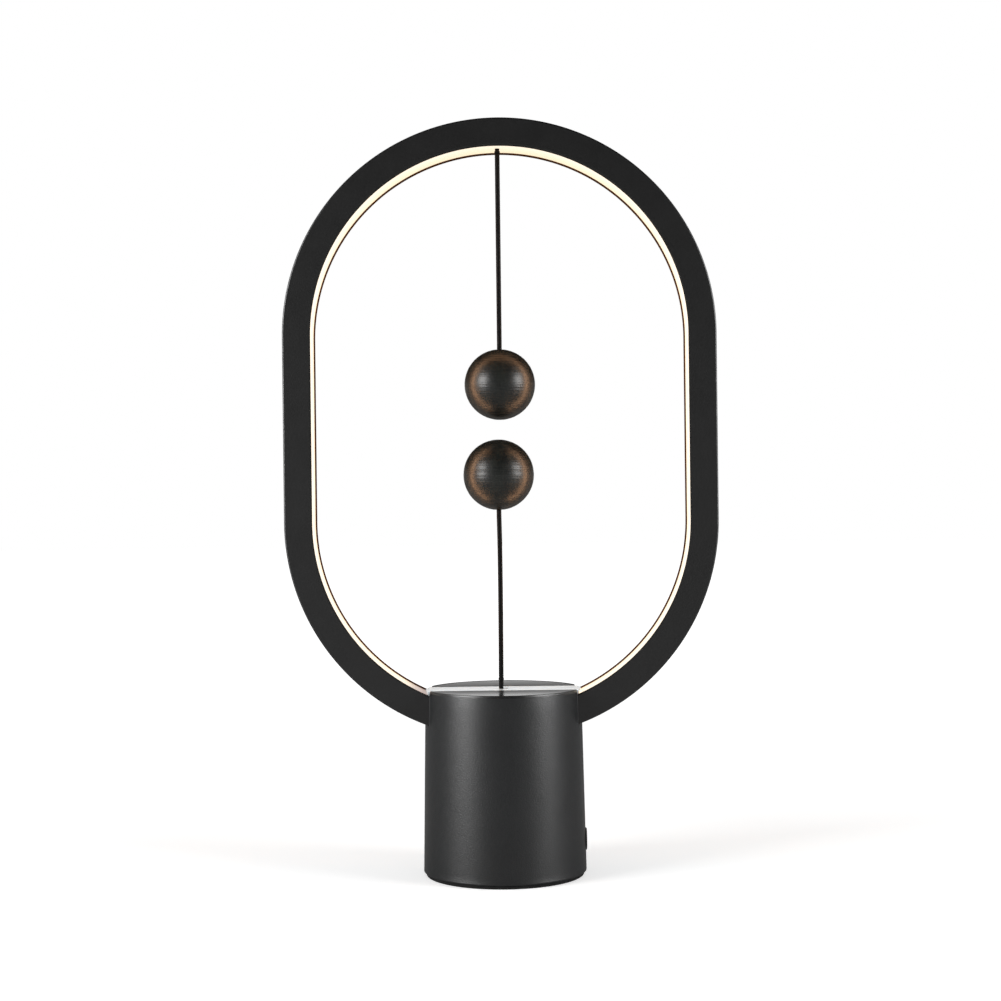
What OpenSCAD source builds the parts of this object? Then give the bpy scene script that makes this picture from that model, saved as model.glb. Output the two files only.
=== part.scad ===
// Magnetic balance lamp: a lit stadium ring on a round base, with two balls on cords.
// The upper ball hangs from the ring. The lower ball is drawn up towards it by a magnet
// in each ball, and its cord lifts a switch plunger inside the base.
// +Z is up, the front faces -Y, and the origin is the centre of the base's underside.

/* [Ring] */
// Width over the ring
ring_w = 140; // [130:1:160]
// Length of the ring's straight sides
ring_straight = 60; // [45:1:90]
// Width of the ring's front face
ring_face = 9; // [8.5:0.5:10.5]
// Depth of the ring from front to back
ring_depth = 17; // [15:0.5:19]
// How far the ring sinks into the base
ring_sink = 15.5; // [14.5:0.5:17]
// Thickness of the lips beside the light strip
lip_t = 1.5; // [1:0.1:2]
// Depth of the light strip below the lips
lip_step = 0.3; // [0.2:0.1:0.8]
// Thickness of the channel's outer wall
ring_back = 3.8; // [3.4:0.1:4.2]
// Height of the tongue that joins the ring's halves
tongue_h = 1.2; // [0.8:0.1:1.8]

/* [Lights] */
// Thickness of the diffuser
diffuser_t = 1.2; // [1:0.1:1.5]
// Width of the shoulder behind the diffuser's edges
shoulder_w = 0.7; // [0.5:0.1:1]
// Width of the flexible light strip
strip_w = 8; // [6:0.5:10]
// Thickness of the flexible light strip
strip_t = 0.3; // [0.2:0.1:0.5]
// Distance between lights along the strip
led_pitch = 12; // [8:1:20]
// Size of one light along the strip
led_w = 2.8; // [2:0.1:3.5]
// Size of one light across the strip
led_l = 3.5; // [2.5:0.1:5]
// Height of one light
led_t = 0.8; // [0.6:0.1:1]

/* [Base] */
// Diameter of the base at the bottom
base_d = 53; // [51:1:60]
// Diameter of the base at the top
base_top_d = 50.8; // [49.6:0.2:53]
// Height of the base
base_h = 60.5; // [58:0.5:70]
// Wall of the base shell
base_wall = 2; // [1.6:0.1:2.4]
// Rim of the shell around the top plates
rim_t = 0.7; // [0.5:0.1:1]
// Thickness of the top plates
top_plate_t = 2; // [1.6:0.1:2.4]
// How far the top plates lie below the rim
top_plate_drop = 0.1; // [0:0.1:0.4]
// Width of the pale cover strip
cover_w = 13.9; // [12:0.1:13.9]
// Thickness of the cover strip
cover_t = 1.4; // [1:0.1:1.6]
// How far the cover strip lies below the rim
cover_drop = 0.2; // [0.1:0.1:0.5]
// Radius of the cord's hole in the cover strip
cover_hole_r = 1.6; // [1.5:0.1:2.2]
// Thickness of the rubber foot
foot_t = 1.2; // [1:0.1:2]
// How far the foot lies inside the shell's edge
foot_inset = 0.8; // [0.4:0.1:1.5]
// Thickness of the closing plate
closing_t = 2; // [1.6:0.1:2.6]
// Thickness of the steel ballast
ballast_t = 3.2; // [2.4:0.1:3.2]

/* [Balls and cords] */
// Diameter of each ball
ball_d = 23; // [21:0.5:24]
// Gap between the two balls
ball_gap = 6.4; // [5:0.2:9]
// Height of the lower ball's centre
lower_ball_z = 130; // [125:1:136]
// How far the lower ball hangs to the side
lower_ball_x = -0.7; // [-1:0.1:0]
// Diameter of the cords
cord_d = 1.5; // [1.2:0.1:1.6]
// Radius of the magnets
magnet_r = 4.1; // [3.5:0.1:4.6]
// Height of the magnets
magnet_h = 8; // [6:0.5:9]
// Wood left in front of each magnet
ball_wall = 2; // [1.5:0.1:3]

/* [Switch] */
// Travel of the switch plunger
travel = 2; // [1:0.1:2.4]
// Radius of the plunger's flange
flange_r = 4.6; // [4.3:0.1:4.9]
// Thickness of the plunger's flange
flange_t = 2; // [1.6:0.1:2.4]
// Radius of the plunger's upper stem
stem_r = 1.9; // [1.6:0.1:2.1]
// Radius of the plunger's lower stem
tail_r = 1.5; // [1.2:0.1:1.7]
// Length of the plunger guide
guide_len = 12; // [11:0.5:13]
// Wall of the plunger guide
guide_wall = 1.3; // [1:0.1:1.6]
// Thickness of the guide's floor
guide_floor = 2; // [1.6:0.1:2.4]
// Radius of the return spring at its wire's centre
spring_r = 3.2; // [2.9:0.1:3.6]
// Radius of the spring's wire
spring_wire = 0.28; // [0.2:0.02:0.32]
// Turns of the return spring
spring_turns = 5; // [3:1:6]
// Height of the fixed contacts
contact_h = 2.4; // [2:0.1:3]
// Thickness of the contact bridge
bridge_t = 0.6; // [0.4:0.1:1]

/* [Power inlet] */
// Height of the inlet's centre
inlet_z = 11; // [10.6:0.2:12]
// Radius of the inlet's round nose
inlet_nose_r = 3.6; // [3:0.1:4]
// Radius of the inlet's bore
inlet_bore_r = 1.8; // [1.6:0.1:2]
// Radius of the pin in the inlet
inlet_pin_r = 0.65; // [0.5:0.05:0.8]
// How far the nose stands out of the base
inlet_out = 0.35; // [0.1:0.05:1]
// Side of the inlet's square housing
inlet_body = 7; // [6:0.2:7.2]

/* [Fits] */
// Gap between pieces that are seated in each other
fit = 0.15; // [0.1:0.05:0.25]
// Gap between pieces that lie face to face
seat = 0.05; // [0.02:0.01:0.08]
// Radial running clearance of the plunger
running = 0.06; // [0.02:0.01:0.1]

/* [Hidden] */
$fn = 96;
mesh_sides = 8;
wire_sides = 6;

// Ring
ring_ro = ring_w / 2;
ring_ri = ring_ro - ring_face;
ring_z0 = base_h - ring_sink;
arc_lo = ring_z0 + ring_ro;
arc_hi = arc_lo + ring_straight;
ring_half = ring_depth / 2;
diffuser_ri = ring_ri + lip_step;
diffuser_ro = diffuser_ri + diffuser_t;
diffuser_half = ring_half - lip_t - seat;
channel_ro = ring_ro - ring_back;
channel_half = ring_half - lip_t - shoulder_w;
tongue_t = 1;
tongue_ro = ring_ro - (ring_back - tongue_t) / 2;
tongue_gap = 0.1;

// Lights
strip_ri = channel_ro - strip_t;
strip_gap = 13;
led_back = strip_ri - led_w * led_w / 8 / strip_ri - 0.005;
leds_top = 2 * floor(PI * strip_ri / led_pitch / 2);
leds_side = floor(ring_straight / led_pitch);
led_angle = 180 / leds_top;

// Base
base_r = base_d / 2;
base_top_r = base_top_d / 2;
plate_gap = 0.1;
base_slope = (base_r - base_top_r) / (base_h - foot_t);
top_plate_r = base_top_r - rim_t - plate_gap;
edge = 0.3;
closing_z = foot_t + closing_t;
ledge_z = base_h - top_plate_drop - top_plate_t - seat;
top_gap = cover_w / 2 + plate_gap;
foot_r = base_r - foot_inset;
function base_at(z) = base_r - base_slope * (z - foot_t);
function bore_at(z) = base_at(z) - base_wall;

// Screws and bosses
screw_r = 1.25;
screw_bore = screw_r + seat;
screw_pass = screw_r + fit;
head_r = 2.2;
head_t = 1.6;
screw_bite = 6;
boss_r = 2.8;
saddle_z = ring_z0 - 4;
saddle_flange_t = 3;
saddle_top = saddle_z + saddle_flange_t;
cheek_t = 2.4;
cheek_h = 8;
saddle_boss_h = 9;
saddle_boss_at = bore_at(saddle_top) - boss_r + 0.4;
saddle_boss_angle = 55;
saddle_screw_len = saddle_flange_t + screw_bite;
foot_boss_h = 8;
foot_boss_at = bore_at(closing_z) - boss_r + 0.2;
foot_boss_angles = [90, 210, 330];
sink_r = 2.6;
sink_t = 1.3;

// Board, its rib on the closing plate and what it carries
board_t = 1.2;
board_y = -inlet_body / 2 - board_t;
board_z = closing_z + ballast_t + 0.1;
board_x0 = 3;
board_x1 = bore_at(inlet_z) - 1.5;
rib_x0 = 4;
rib_x1 = 12;
rib_side = 1.2;
rib_top = board_z + 3;
chip = [5, 1.5, 5];
coil = [4, 2.5, 4];
capacitor_r = 2.6;
capacitor_h = 6;

// Power inlet: a square housing with a round nose that passes the shell
inlet_x1 = bore_at(inlet_z) - 0.5;
inlet_x0 = inlet_x1 - 9.8;
inlet_nose_x = inlet_x1 - 1;
inlet_mouth = base_at(inlet_z) + inlet_out;
inlet_bore_len = 7.3;
inlet_gap = 0.1;

// Switch
guide_z = saddle_z - guide_len;
guide_ri = flange_r + 0.1;
guide_ro = guide_ri + guide_wall;
floor_z = guide_z + guide_floor;
flange_z = floor_z + travel + seat;
stem_top = ring_z0 + 3;
cord_seat_z = stem_top - 5;
contact_z = guide_z - contact_h;
contact_x = 4.6;
contact_r = 0.9;
bridge_z = contact_z - seat - bridge_t;
board_top = contact_z - 3.6;
bridge_x = contact_x + 1.4;
bridge_y = 2;
ear_at = guide_ro + 2.5;
ear_t = 2;
ear_half = 3;
guide_screw_r = 0.95;
guide_screw_len = 4.5;
guide_head_r = 1.8;
guide_head_t = 1.2;
passage_r = 2.5;
passage_len = ring_face + 3;
lead_x = 10.5;
lead_hole_r = 1.7;
wire_r = 0.5;

// Balls, magnets and cords
ball_r = ball_d / 2;
cord_r = cord_d / 2;
upper_ball_z = lower_ball_z + ball_d + ball_gap;
magnet_bore = magnet_r + seat;
magnet_top = -ball_r + ball_wall + magnet_h + seat;
bend_r = cord_r + 0.15;
bend_gap = bend_r + seat;
cord_hole_r = cord_r + seat;
plug_hole_r = cord_r + 2 * seat;
knot_r = (strip_ri - diffuser_ro) / 2 - seat;
upper_pivot_z = arc_hi + diffuser_ri - bend_r - 0.2;
lower_pivot_z = base_h - cover_drop + travel + bend_r + 0.2;
lower_pivot_x = -0.65;
upper_cord_top = upper_pivot_z - bend_gap;
upper_cord_end = upper_ball_z + magnet_top + seat;
lower_cord_foot = lower_pivot_z + bend_gap;
lower_cord_end = lower_ball_z - magnet_top - seat;

// Routes of the cords: how far to the side, and how far along from the first end
upper_route = [[0, 0], [0, 0.25], [0, 0.5], [0, 0.75], [0, 1]];
lower_route = [[-0.65, 0], [-0.6, 0.15], [-0.55, 0.4], [-0.6, 0.65], [-0.75, 0.8], [-0.7, 1]];
tail_route = [[0, 0], [0, 0.3], [-0.15, 0.5], [-0.65, 0.85], [-0.65, 1]];

// Routes of the wires inside the base: the last figure is the share of the way up from the
// board's top edge, to the ring's underside for the lights and to the guide for the switch
led_lead_plus = [[12.6, 0.6, 1.28], [11.3, 0.6, 1.24], [10.5, 0.6, 1.1], [10.5, 0.6, 0.73],
    [11, -1.5, 0.36], [12, -4.1, 0.14], [12, -4.1, 0.005]];
led_lead_minus = [[12.6, -0.6, 1.28], [11.3, -0.6, 1.24], [10.5, -0.6, 1.1], [10.5, -0.6, 0.73],
    [12.5, -2.5, 0.36], [15, -4.1, 0.14], [15, -4.1, 0.005]];
switch_lead_right = [[4.6, -1.5, 0.83], [5.2, -2.9, 0.78], [7, -4, 0.53], [8, -4.1, 0.25],
    [8, -4.1, 0.02]];
switch_lead_left = [[-4.6, -1.5, 0.83], [-4, -3.4, 0.78], [-1, -4.8, 0.63], [3, -4.9, 0.43],
    [4.4, -4.2, 0.2], [4.5, -4.1, 0.02]];

// Outline of the ring at radius r, in the plane of its face
module stadium(r) {
    translate([0, arc_lo]) circle(r);
    translate([0, arc_hi]) circle(r);
    translate([-r, arc_lo]) square([2 * r, ring_straight]);
}

// The space inside the ring's outline at radius r, from y0 back to y1
module ring_space(r, y0, y1) {
    translate([0, y1, 0]) rotate([90, 0, 0]) linear_extrude(y1 - y0) stadium(r);
}

function unit(v) = v / norm(v);
function spline(a, b, c, d, t) = 0.5 * (2 * b + (c - a) * t
    + (2 * a - 5 * b + 4 * c - d) * t * t + (3 * b - a - 3 * c + d) * t * t * t);
function smooth(p, steps) = [
    for (i = [0:len(p) - 2]) for (s = [0:steps - 1])
        spline(p[max(i - 1, 0)], p[i], p[i + 1], p[min(i + 2, len(p) - 1)], s / steps),
    p[len(p) - 1]];
function heading(p, i) = unit(p[min(i + 1, len(p) - 1)] - p[max(i - 1, 0)]);
function loop_at(c, t, ref, r, n) = let (u = unit(cross(t, ref)), v = cross(t, u))
    [for (k = [0:n - 1]) c + r * (cos(360 * k / n) * u + sin(360 * k / n) * v)];

// One closed tube along the points p. ref is a direction that the tube never runs in.
module tube(p, r, n, ref) {
    last = len(p) - 1;
    points = [for (i = [0:last]) each loop_at(p[i], heading(p, i), ref, r, n)];
    sides = [for (i = [0:last - 1]) for (k = [0:n - 1]) let (a = i * n + k,
        b = i * n + (k + 1) % n) each [[a, b, a + n], [b, b + n, a + n]]];
    ends = [for (k = [1:n - 2]) each [[0, k + 1, k], [last * n, last * n + k, last * n + k + 1]]];
    polyhedron(points, concat(sides, ends), convexity = 4);
}

// A cord from height z0 to z1 along a route of [sideways, share of the way]
module cord(route, z0, z1, steps) {
    p = [for (q = route) [q[0], 0, z0 + (z1 - z0) * q[1]]];
    tube(smooth(p, steps), cord_r, mesh_sides, [0, 1, 0]);
}

module at_angles(angles, radius) {
    for (a = angles) rotate([0, 0, a]) translate([radius, 0, 0]) children();
}

module at_saddle_bosses() {
    for (a = [-1, 1]) for (b = [0, 180]) rotate([0, 0, b + a * saddle_boss_angle])
        translate([saddle_boss_at, 0, 0]) children();
}

module base_shell() {
    color("#3b3c3e") difference() {
        union() {
            rotate_extrude() polygon([
                [base_r - base_wall, foot_t], [base_r - edge, foot_t], [base_r, foot_t + edge],
                [base_top_r + base_slope * edge, base_h - edge], [base_top_r - edge, base_h],
                [base_top_r - rim_t, base_h], [base_top_r - rim_t, ledge_z],
                [bore_at(ledge_z), ledge_z]]);
            translate([0, 0, saddle_top + seat]) at_saddle_bosses()
                cylinder(r = boss_r, h = saddle_boss_h);
            translate([0, 0, closing_z + seat]) at_angles(foot_boss_angles, foot_boss_at)
                cylinder(r = boss_r, h = foot_boss_h);
        }
        ring_space(ring_ro + fit, -ring_half - fit, ring_half + fit);
        translate([0, 0, saddle_top - 1]) at_saddle_bosses()
            cylinder(r = screw_bore, h = saddle_boss_h);
        translate([0, 0, foot_t]) at_angles(foot_boss_angles, foot_boss_at)
            cylinder(r = screw_bore, h = foot_boss_h + 1);
        translate([base_r - 2 * base_wall, 0, inlet_z]) rotate([0, 90, 0])
            cylinder(r = inlet_nose_r + inlet_gap, h = 3 * base_wall);
    }
}

// One of the two D-shaped plates; side is -1 for the front and 1 for the rear
module top_plate(side) {
    difference() {
        translate([0, 0, ledge_z + seat]) cylinder(r = top_plate_r, h = top_plate_t);
        translate([-base_top_r, side > 0 ? -base_top_r : -top_gap, ledge_z - 1])
            cube([base_top_d, base_top_r + top_gap, top_plate_t + 2]);
        difference() {
            ring_space(ring_ro + fit, -ring_half - fit, ring_half + fit);
            ring_space(ring_ri - fit, -ring_half - 1, ring_half + 1);
        }
    }
}

module top_plate_front() {
    color("#6e6f72") top_plate(-1);
}

module top_plate_rear() {
    color("#6e6f72") top_plate(1);
}

module cover_strip() {
    color("#f2f0ee") difference() {
        intersection() {
            translate([-base_top_r, -cover_w / 2, base_h - cover_drop - cover_t])
                cube([base_top_d, cover_w, cover_t]);
            cylinder(r = base_top_r - plate_gap, h = base_h);
            ring_space(diffuser_ri - seat, -ring_half, ring_half);
        }
        translate([0, 0, base_h - cover_t - 1]) cylinder(r = cover_hole_r, h = cover_t + 2);
    }
}

module foot_pad() {
    color("#141414") rotate_extrude() polygon([
        [0, 0], [foot_r - edge, 0], [foot_r, edge], [foot_r, foot_t], [0, foot_t]]);
}

module closing_plate() {
    plate_r = bore_at(closing_z) - fit;
    color("#2b2b2c") difference() {
        union() {
            translate([0, 0, foot_t]) cylinder(r = plate_r, h = closing_t);
            translate([rib_x0, board_y - rib_side, closing_z - 0.5])
                cube([rib_x1 - rib_x0, board_t + 2 * rib_side, rib_top - closing_z + 0.5]);
        }
        translate([rib_x0 - 1, board_y - seat, board_z - seat])
            cube([rib_x1 - rib_x0 + 2, board_t + 2 * seat, rib_top]);
        translate([0, 0, foot_t - 1]) at_angles(foot_boss_angles, foot_boss_at)
            cylinder(r = screw_pass, h = closing_t + 2);
        translate([0, 0, foot_t]) at_angles(foot_boss_angles, foot_boss_at)
            cylinder(r1 = sink_r + seat, r2 = screw_r + seat, h = sink_t + seat);
    }
}

module closing_screws() {
    color("#b9bbc0") translate([0, 0, foot_t]) at_angles(foot_boss_angles, foot_boss_at) {
        cylinder(r1 = sink_r, r2 = screw_r, h = sink_t);
        cylinder(r = screw_r, h = foot_boss_h);
    }
}

module ballast() {
    color("#8d8f94") difference() {
        translate([0, 0, closing_z]) cylinder(r = bore_at(closing_z) - 2.5, h = ballast_t);
        translate([0, 0, closing_z - 1]) at_angles(foot_boss_angles, foot_boss_at)
            cylinder(r = boss_r + 0.3, h = ballast_t + 2);
        translate([rib_x0 - 0.3, board_y - rib_side - 0.3, closing_z - 1])
            cube([rib_x1 - rib_x0 + 0.6, board_t + 2 * rib_side + 0.6, ballast_t + 2]);
    }
}

// What both halves of the ring leave free: the channel, the diffuser's seat and the holes
module ring_hollow() {
    ring_space(ring_ri, -ring_half - 1, ring_half + 1);
    ring_space(diffuser_ro + seat, -ring_half + lip_t, ring_half - lip_t);
    ring_space(channel_ro, -channel_half, channel_half);
    translate([0, 0, ring_z0 - 1]) cylinder(r = passage_r, h = passage_len);
    translate([lead_x, 0, ring_z0 - 1]) cylinder(r = lead_hole_r, h = passage_len);
}

module ring_front_half() {
    color("#232425") difference() {
        ring_space(ring_ro, -ring_half, 0);
        ring_hollow();
        difference() {
            ring_space(tongue_ro + tongue_gap, -tongue_h - tongue_gap, 1);
            ring_space(tongue_ro - tongue_t - tongue_gap, -tongue_h - 1, 2);
        }
    }
}

module ring_rear_half() {
    color("#1f2021") difference() {
        union() {
            ring_space(ring_ro, 0, ring_half);
            difference() {
                ring_space(tongue_ro, -tongue_h, 1);
                ring_space(tongue_ro - tongue_t, -tongue_h - 1, 0);
            }
        }
        ring_hollow();
    }
}

module ring_diffuser() {
    color("#fff1cf") difference() {
        ring_space(diffuser_ro, -diffuser_half, diffuser_half);
        ring_space(diffuser_ri, -ring_half, ring_half);
        translate([0, 0, arc_hi]) cylinder(r = cord_r + 0.25, h = ring_ro);
        translate([0, 0, ring_z0]) cylinder(r = passage_r, h = passage_len);
    }
}

module led_strip() {
    color("#e8e4d8") difference() {
        ring_space(channel_ro, -strip_w / 2, strip_w / 2);
        ring_space(strip_ri, -strip_w, strip_w);
        translate([-strip_gap, -strip_w, ring_z0]) cube([2 * strip_gap, 2 * strip_w, ring_ro]);
    }
}

module led() {
    translate([led_back - led_t, -led_l / 2, -led_w / 2]) cube([led_t, led_l, led_w]);
}

module leds() {
    color("#ffe08a") {
        for (i = [0:leds_top - 1]) translate([0, 0, arc_hi])
            rotate([0, -(i + 0.5) * led_angle, 0]) led();
        for (i = [0:leds_top - 1]) if (abs(cos((i + 0.5) * led_angle)) * strip_ri > strip_gap + led_w)
            translate([0, 0, arc_lo]) rotate([0, (i + 0.5) * led_angle, 0]) led();
        for (i = [0:leds_side - 1]) for (side = [0, 180])
            translate([0, 0, arc_lo + (i + 0.5) * ring_straight / leds_side])
                rotate([0, 0, side]) led();
    }
}

// The knot behind the diffuser and the cord through the hole below it
module upper_cord_knot() {
    knot_z = arc_hi + diffuser_ro + knot_r + 0.02;
    color("#101010") {
        translate([0, 0, knot_z]) sphere(r = knot_r);
        translate([0, 0, upper_pivot_z + bend_gap])
            cylinder(r = cord_r, h = knot_z - upper_pivot_z - bend_gap);
    }
}

module ring_saddle() {
    color("#3f4042") difference() {
        union() {
            translate([0, 0, saddle_z]) cylinder(r = bore_at(saddle_top) - 0.4, h = saddle_flange_t);
            intersection() {
                translate([0, 0, saddle_z]) cylinder(r = bore_at(ledge_z) - 0.5, h = cheek_h);
                translate([-base_top_r, -ring_half - cheek_t, saddle_z])
                    cube([base_top_d, ring_depth + 2 * cheek_t, cheek_h]);
            }
        }
        ring_space(ring_ro + seat, -ring_half - seat, ring_half + seat);
        translate([0, 0, saddle_z - 1]) cylinder(r = stem_r + running, h = cheek_h + 2);
        translate([lead_x, 0, saddle_z - 1]) cylinder(r = lead_hole_r, h = cheek_h + 2);
        translate([0, 0, saddle_z - 1]) at_saddle_bosses()
            cylinder(r = screw_pass, h = cheek_h + 2);
        for (side = [-1, 1]) translate([0, side * ear_at, saddle_z - 1])
            cylinder(r = guide_screw_r + seat, h = guide_screw_len - ear_t + 1.2);
    }
}

module saddle_screws() {
    color("#b9bbc0") translate([0, 0, saddle_z]) at_saddle_bosses() {
        translate([0, 0, -head_t]) cylinder(r = head_r, h = head_t);
        cylinder(r = screw_r, h = saddle_screw_len);
    }
}

module plunger_guide() {
    color("#d9d9d6") difference() {
        union() {
            translate([0, 0, guide_z]) cylinder(r = guide_ro, h = guide_len);
            translate([-ear_half, -ear_at - ear_half, saddle_z - ear_t])
                cube([2 * ear_half, 2 * (ear_at + ear_half), ear_t]);
        }
        translate([0, 0, floor_z]) cylinder(r = guide_ri, h = guide_len);
        translate([0, 0, guide_z - 1]) cylinder(r = tail_r + running, h = guide_floor + 2);
        for (side = [-1, 1]) translate([0, side * ear_at, saddle_z - ear_t - 1])
            cylinder(r = guide_screw_r + 0.1, h = ear_t + 2);
    }
}

module guide_screws() {
    color("#b9bbc0") for (side = [-1, 1]) translate([0, side * ear_at, saddle_z - ear_t]) {
        translate([0, 0, -guide_head_t]) cylinder(r = guide_head_r, h = guide_head_t);
        cylinder(r = guide_screw_r, h = guide_screw_len);
    }
}

module fixed_contacts() {
    color("#c9a24b") for (side = [-1, 1]) translate([side * contact_x, 0, contact_z])
        cylinder(r = contact_r, h = contact_h);
}

module return_spring() {
    low = flange_z + flange_t + spring_wire + seat;
    high = saddle_z - spring_wire - seat;
    steps = 12 * spring_turns;
    p = [for (i = [0:steps]) [spring_r * cos(30 * i), spring_r * sin(30 * i),
        low + (high - low) * i / steps]];
    color("#c4c6ca") tube(p, spring_wire, wire_sides, [0, 0, 1]);
}

module circuit_board() {
    color("#1f6b3a") translate([board_x0, board_y, board_z])
        cube([board_x1 - board_x0, board_t, board_top - board_z]);
}

// A driver chip, a capacitor and a coil on the board's front face
module board_parts() {
    color("#2d3f7a") translate([(rib_x0 + rib_x1) / 2, board_y, rib_top + capacitor_r + 0.5])
        rotate([90, 0, 0]) cylinder(r = capacitor_r, h = capacitor_h);
    color("#181818") translate([rib_x1 + 1, board_y - chip[1], board_z + 1.5]) cube(chip);
    color("#6b5a3a") translate([board_x1 - coil[0] - 0.5, board_y - coil[1], rib_top + 2.3])
        cube(coil);
}

module power_inlet() {
    color("#0c0c0c") difference() {
        union() {
            translate([inlet_x0, -inlet_body / 2, inlet_z - inlet_body / 2])
                cube([inlet_x1 - inlet_x0, inlet_body, inlet_body]);
            translate([inlet_nose_x, 0, inlet_z]) rotate([0, 90, 0])
                cylinder(r = inlet_nose_r, h = inlet_mouth - inlet_nose_x);
        }
        translate([inlet_mouth - inlet_bore_len, 0, inlet_z]) rotate([0, 90, 0])
            cylinder(r = inlet_bore_r, h = inlet_bore_len + 1);
        translate([inlet_x0 - 1, 0, inlet_z]) rotate([0, 90, 0])
            cylinder(r = inlet_pin_r, h = base_r);
    }
}

module inlet_pin() {
    color("#d4d6da") translate([inlet_x0, 0, inlet_z]) rotate([0, 90, 0])
        cylinder(r = inlet_pin_r, h = inlet_mouth - 1.15 - inlet_x0);
}

// A wire along p, whose heights are shares of the way from the board's top edge up to top
module lead(p, top, ref) {
    route = [for (q = p) [q[0], q[1], board_top + (top - board_top) * q[2]]];
    tube(smooth(route, 3), wire_r, wire_sides, ref);
}

module led_leads() {
    color("#b3261e") lead(led_lead_plus, ring_z0, [0, 1, 0]);
    color("#202020") lead(led_lead_minus, ring_z0, [0, 1, 0]);
}

module switch_leads() {
    color("#e0c020") lead(switch_lead_right, guide_z, [1, 0, 0.3]);
    color("#2a58b0") lead(switch_lead_left, guide_z, [0, 0.3, 1]);
}

module plunger() {
    color("#ececea") difference() {
        union() {
            translate([0, 0, bridge_z - 0.6]) cylinder(r = tail_r, h = flange_z - bridge_z + 1);
            translate([0, 0, flange_z]) cylinder(r = flange_r, h = flange_t);
            translate([0, 0, flange_z]) cylinder(r = stem_r, h = stem_top - flange_z);
        }
        translate([0, 0, cord_seat_z]) cylinder(r = cord_hole_r, h = stem_top - cord_seat_z + 1);
    }
}

module contact_bridge() {
    color("#c9a24b") difference() {
        translate([-bridge_x, -bridge_y, bridge_z]) cube([2 * bridge_x, 2 * bridge_y, bridge_t]);
        translate([0, 0, bridge_z - 1]) cylinder(r = tail_r + 0.02, h = bridge_t + 2);
    }
}

module lower_cord_tail() {
    color("#101010") cord(tail_route, cord_seat_z + seat, lower_pivot_z - bend_gap, 2);
}

module lower_cord_bend() {
    color("#101010") translate([lower_pivot_x, 0, lower_pivot_z]) sphere(r = bend_r);
}

module lower_cord() {
    color("#101010") cord(lower_route, lower_cord_foot, lower_cord_end, 3);
}

// Ball parts lie around the ball's centre, with the cord's side up
module ball_wood() {
    difference() {
        sphere(r = ball_r);
        translate([0, 0, -ball_r + ball_wall]) cylinder(r = magnet_bore, h = ball_d);
    }
}

module ball_plug() {
    difference() {
        intersection() {
            sphere(r = ball_r);
            translate([0, 0, magnet_top]) cylinder(r = magnet_r, h = ball_d);
        }
        translate([0, 0, magnet_top - 1]) cylinder(r = plug_hole_r, h = ball_d);
    }
}

module ball_magnet() {
    translate([0, 0, -ball_r + ball_wall + seat / 2]) cylinder(r = magnet_r, h = magnet_h);
}

module in_lower_ball() {
    translate([lower_ball_x, 0, lower_ball_z]) rotate([180, 0, 0]) children();
}

module in_upper_ball() {
    translate([0, 0, upper_ball_z]) children();
}

module lower_ball() {
    color("#2e2824") in_lower_ball() ball_wood();
}

module lower_ball_plug() {
    color("#2e2824") in_lower_ball() ball_plug();
}

module lower_magnet() {
    color("#c8cacd") in_lower_ball() ball_magnet();
}

module upper_cord_bend() {
    color("#101010") translate([0, 0, upper_pivot_z]) sphere(r = bend_r);
}

module upper_cord() {
    color("#101010") cord(upper_route, upper_cord_top, upper_cord_end, 4);
}

module upper_ball() {
    color("#2e2824") in_upper_ball() ball_wood();
}

module upper_ball_plug() {
    color("#2e2824") in_upper_ball() ball_plug();
}

module upper_magnet() {
    color("#c8cacd") in_upper_ball() ball_magnet();
}

base_shell();
top_plate_front();
top_plate_rear();
cover_strip();
foot_pad();
closing_plate();
closing_screws();
ballast();
ring_front_half();
ring_rear_half();
ring_diffuser();
led_strip();
leds();
upper_cord_knot();
ring_saddle();
saddle_screws();
plunger_guide();
guide_screws();
fixed_contacts();
return_spring();
circuit_board();
board_parts();
power_inlet();
inlet_pin();
led_leads();
switch_leads();
plunger();
contact_bridge();
lower_cord_tail();
lower_cord_bend();
lower_cord();
lower_ball();
lower_ball_plug();
lower_magnet();
upper_cord_bend();
upper_cord();
upper_ball();
upper_ball_plug();
upper_magnet();
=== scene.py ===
import math

import bpy
import bmesh
from mathutils import Matrix, Vector, noise


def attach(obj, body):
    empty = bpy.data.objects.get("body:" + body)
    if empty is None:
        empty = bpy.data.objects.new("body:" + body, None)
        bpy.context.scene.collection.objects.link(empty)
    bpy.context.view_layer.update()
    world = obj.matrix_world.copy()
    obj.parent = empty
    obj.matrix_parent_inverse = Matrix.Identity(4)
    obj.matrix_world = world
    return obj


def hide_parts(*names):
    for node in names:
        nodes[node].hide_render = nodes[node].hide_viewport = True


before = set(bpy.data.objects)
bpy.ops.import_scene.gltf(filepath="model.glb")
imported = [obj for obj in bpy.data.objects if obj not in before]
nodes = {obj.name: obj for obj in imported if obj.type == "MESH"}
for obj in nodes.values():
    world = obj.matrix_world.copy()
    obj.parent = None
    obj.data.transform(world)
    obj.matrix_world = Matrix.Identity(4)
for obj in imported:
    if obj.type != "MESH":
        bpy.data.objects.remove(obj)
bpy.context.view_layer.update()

mm = 0.001
scene = bpy.context.scene
print("frame loaded:", len(nodes), "nodes")

# the camera, level, at the place fitted to the photo
view = {
    "away": 605 * mm,
    "height": 123 * mm,
    "film": 36, "lens": 66.68,
    "lean": -0.0117,  # the photographed lamp stands a little askew
    "shiftRight": -0.0006, "shiftDown": -0.0043,
}


def linked(name, data):
    thing = bpy.data.objects.new(name, data)
    scene.collection.objects.link(thing)
    return thing


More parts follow.
